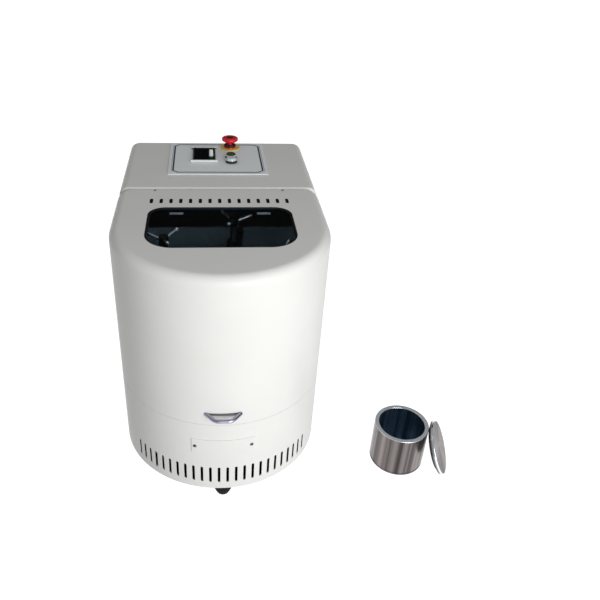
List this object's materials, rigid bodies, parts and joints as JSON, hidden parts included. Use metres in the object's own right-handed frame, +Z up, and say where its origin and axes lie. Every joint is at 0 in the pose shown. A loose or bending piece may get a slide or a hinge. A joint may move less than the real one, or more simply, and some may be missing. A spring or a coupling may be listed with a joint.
{
  "type": "laboratory ball mill",
  "caption": "Bench planetary ball mill: D-shaped base and hinged hood with window, rear cabinet with controls, geared jar stations inside, and a loose jar with its lid beside it.",
  "frame": {"origin": "on the floor, in the middle of the footprint of the mill and the loose jar together", "axes": "+Z up, -Y towards the mill's curved front, +X towards the loose jar"},
  "size_m": [0.8014, 0.781, 0.6326],
  "materials": {
    "enamel": "satin stove enamel",
    "grey_enamel": "satin grey enamel",
    "plated_steel": "machined and plated",
    "dark_steel": "blackened steel",
    "stainless": "turned stainless",
    "chrome": "polished",
    "smoked_glass": "smoked, glossy",
    "black_plastic": "moulded",
    "rubber": "matt",
    "panel_sheet": "silver-grey faced sheet",
    "red_plastic": "glossy",
    "yellow_plastic": "satin",
    "green_plastic": "glossy",
    "white_plastic": "satin",
    "motor_paint": "satin",
    "cast_housing": "as cast, machined seats"
  },
  "bodies": {
    "housing": {"base_skirt": "enamel", "base_plate": "plated_steel", "access_plate": "enamel", "front_foot": "rubber", "rear_left_foot": "rubber", "rear_right_foot": "rubber", "deck_plate": "grey_enamel", "bearing_housing": "cast_housing", "main_bearing": "stainless", "ring_gear": "dark_steel", "cabinet_shell": "enamel", "bulkhead": "grey_enamel", "rear_panel": "enamel", "mains_inlet": "black_plastic", "control_panel": "panel_sheet", "speed_display": "black_plastic", "estop_base": "yellow_plastic", "start_bezel": "chrome", "stop_bezel": "chrome", "motor": "motor_paint", "drive_belt": "rubber", "left_hinge_bracket": "plated_steel", "right_hinge_bracket": "plated_steel"},
    "carrier": {"planet_carrier": "plated_steel", "main_shaft": "stainless", "driven_pulley": "cast_housing"},
    "station_1": {"planet_gear_1": "plated_steel", "jar_holder_1": "plated_steel", "clamp_bridge_1": "dark_steel", "jar_1": "stainless", "jar_lid_1": "stainless"},
    "screw_1": {"clamp_screw_1": "chrome"},
    "station_2": {"planet_gear_2": "plated_steel", "jar_holder_2": "plated_steel", "clamp_bridge_2": "dark_steel", "jar_2": "stainless", "jar_lid_2": "stainless"},
    "screw_2": {"clamp_screw_2": "chrome"},
    "station_3": {"planet_gear_3": "plated_steel", "jar_holder_3": "plated_steel", "clamp_bridge_3": "dark_steel"},
    "screw_3": {"clamp_screw_3": "chrome"},
    "station_4": {"planet_gear_4": "plated_steel", "jar_holder_4": "plated_steel", "clamp_bridge_4": "dark_steel", "jar_4": "stainless", "jar_lid_4": "stainless"},
    "screw_4": {"clamp_screw_4": "chrome"},
    "hood": {"hood_shell": "enamel", "window_pane": "smoked_glass", "hood_handle": "chrome", "left_hinge_leaf": "plated_steel", "right_hinge_leaf": "plated_steel"},
    "motor_rotor": {"motor_pulley": "cast_housing"},
    "speed_knob": {"speed_knob": "white_plastic"},
    "estop_head": {"estop_head": "red_plastic"},
    "start_button": {"start_button": "green_plastic"},
    "stop_button": {"stop_button": "white_plastic"},
    "loose_jar": {"loose_jar": "stainless"},
    "loose_jar_lid": {"loose_jar_lid": "stainless"}
  },
  "joints": [
    {"name": "carrier_spin", "type": "hinge", "parent": "housing", "child": "carrier", "pos_m": [-0.16567, -0.13655, 0.292], "axis": [0, 0, 1], "continuous": true},
    {"name": "station_1_spin", "type": "hinge", "parent": "carrier", "child": "station_1", "pos_m": [-0.13213, -0.01137, 0.292], "axis": [0, 0, 1], "continuous": true},
    {"name": "station_2_spin", "type": "hinge", "parent": "carrier", "child": "station_2", "pos_m": [-0.29085, -0.10301, 0.292], "axis": [0, 0, 1], "continuous": true},
    {"name": "station_3_spin", "type": "hinge", "parent": "carrier", "child": "station_3", "pos_m": [-0.19921, -0.26173, 0.292], "axis": [0, 0, 1], "continuous": true},
    {"name": "station_4_spin", "type": "hinge", "parent": "carrier", "child": "station_4", "pos_m": [-0.04049, -0.17009, 0.292], "axis": [0, 0, 1], "continuous": true},
    {"name": "motor_spin", "type": "hinge", "parent": "housing", "child": "motor_rotor", "pos_m": [-0.16567, 0.21345, 0.126], "axis": [0, 0, 1], "continuous": true},
    {"name": "screw_1_turn", "type": "hinge", "parent": "station_1", "child": "screw_1", "pos_m": [-0.13213, -0.01137, 0.49], "axis": [0, 0, 1], "range_deg": [0, 720]},
    {"name": "screw_2_turn", "type": "hinge", "parent": "station_2", "child": "screw_2", "pos_m": [-0.29085, -0.10301, 0.49], "axis": [0, 0, 1], "range_deg": [0, 720]},
    {"name": "screw_3_turn", "type": "hinge", "parent": "station_3", "child": "screw_3", "pos_m": [-0.19921, -0.26173, 0.49], "axis": [0, 0, 1], "range_deg": [0, 720]},
    {"name": "screw_4_turn", "type": "hinge", "parent": "station_4", "child": "screw_4", "pos_m": [-0.04049, -0.17009, 0.49], "axis": [0, 0, 1], "range_deg": [0, 720]},
    {"name": "hood_hinge", "type": "hinge", "parent": "housing", "child": "hood", "pos_m": [-0.16567, 0.03945, 0.591], "axis": [-1, 0, 0], "range_deg": [0, 60]},
    {"name": "speed_knob_turn", "type": "hinge", "parent": "housing", "child": "speed_knob", "pos_m": [-0.18217, 0.24045, 0.61], "axis": [0, 0, -1], "range_deg": [0, 300]},
    {"name": "estop_press", "type": "slide", "parent": "housing", "child": "estop_head", "axis": [0, 0, -1], "range_m": [0, 0.0045], "stiffness_N_per_m": 600, "springref_m": -0.002},
    {"name": "start_press", "type": "slide", "parent": "housing", "child": "start_button", "axis": [0, 0, -1], "range_m": [0, 0.004], "stiffness_N_per_m": 500, "springref_m": -0.002},
    {"name": "stop_press", "type": "slide", "parent": "housing", "child": "stop_button", "axis": [0, 0, -1], "range_m": [0, 0.004], "stiffness_N_per_m": 500, "springref_m": -0.002},
    {"name": "loose_jar_lift", "type": "slide", "parent": "housing", "child": "loose_jar", "axis": [0, 0, 1], "range_m": [0, 0.2]},
    {"name": "loose_lid_lift", "type": "slide", "parent": "housing", "child": "loose_jar_lid", "axis": [0, 0, 1], "range_m": [0, 0.2]}
  ],
  "couplings": [
    {"joint": "station_1_spin", "follows": "carrier_spin", "ratio": -3},
    {"joint": "station_2_spin", "follows": "carrier_spin", "ratio": -3},
    {"joint": "station_3_spin", "follows": "carrier_spin", "ratio": -3},
    {"joint": "station_4_spin", "follows": "carrier_spin", "ratio": -3},
    {"joint": "motor_spin", "follows": "carrier_spin", "ratio": 2}
  ]
}
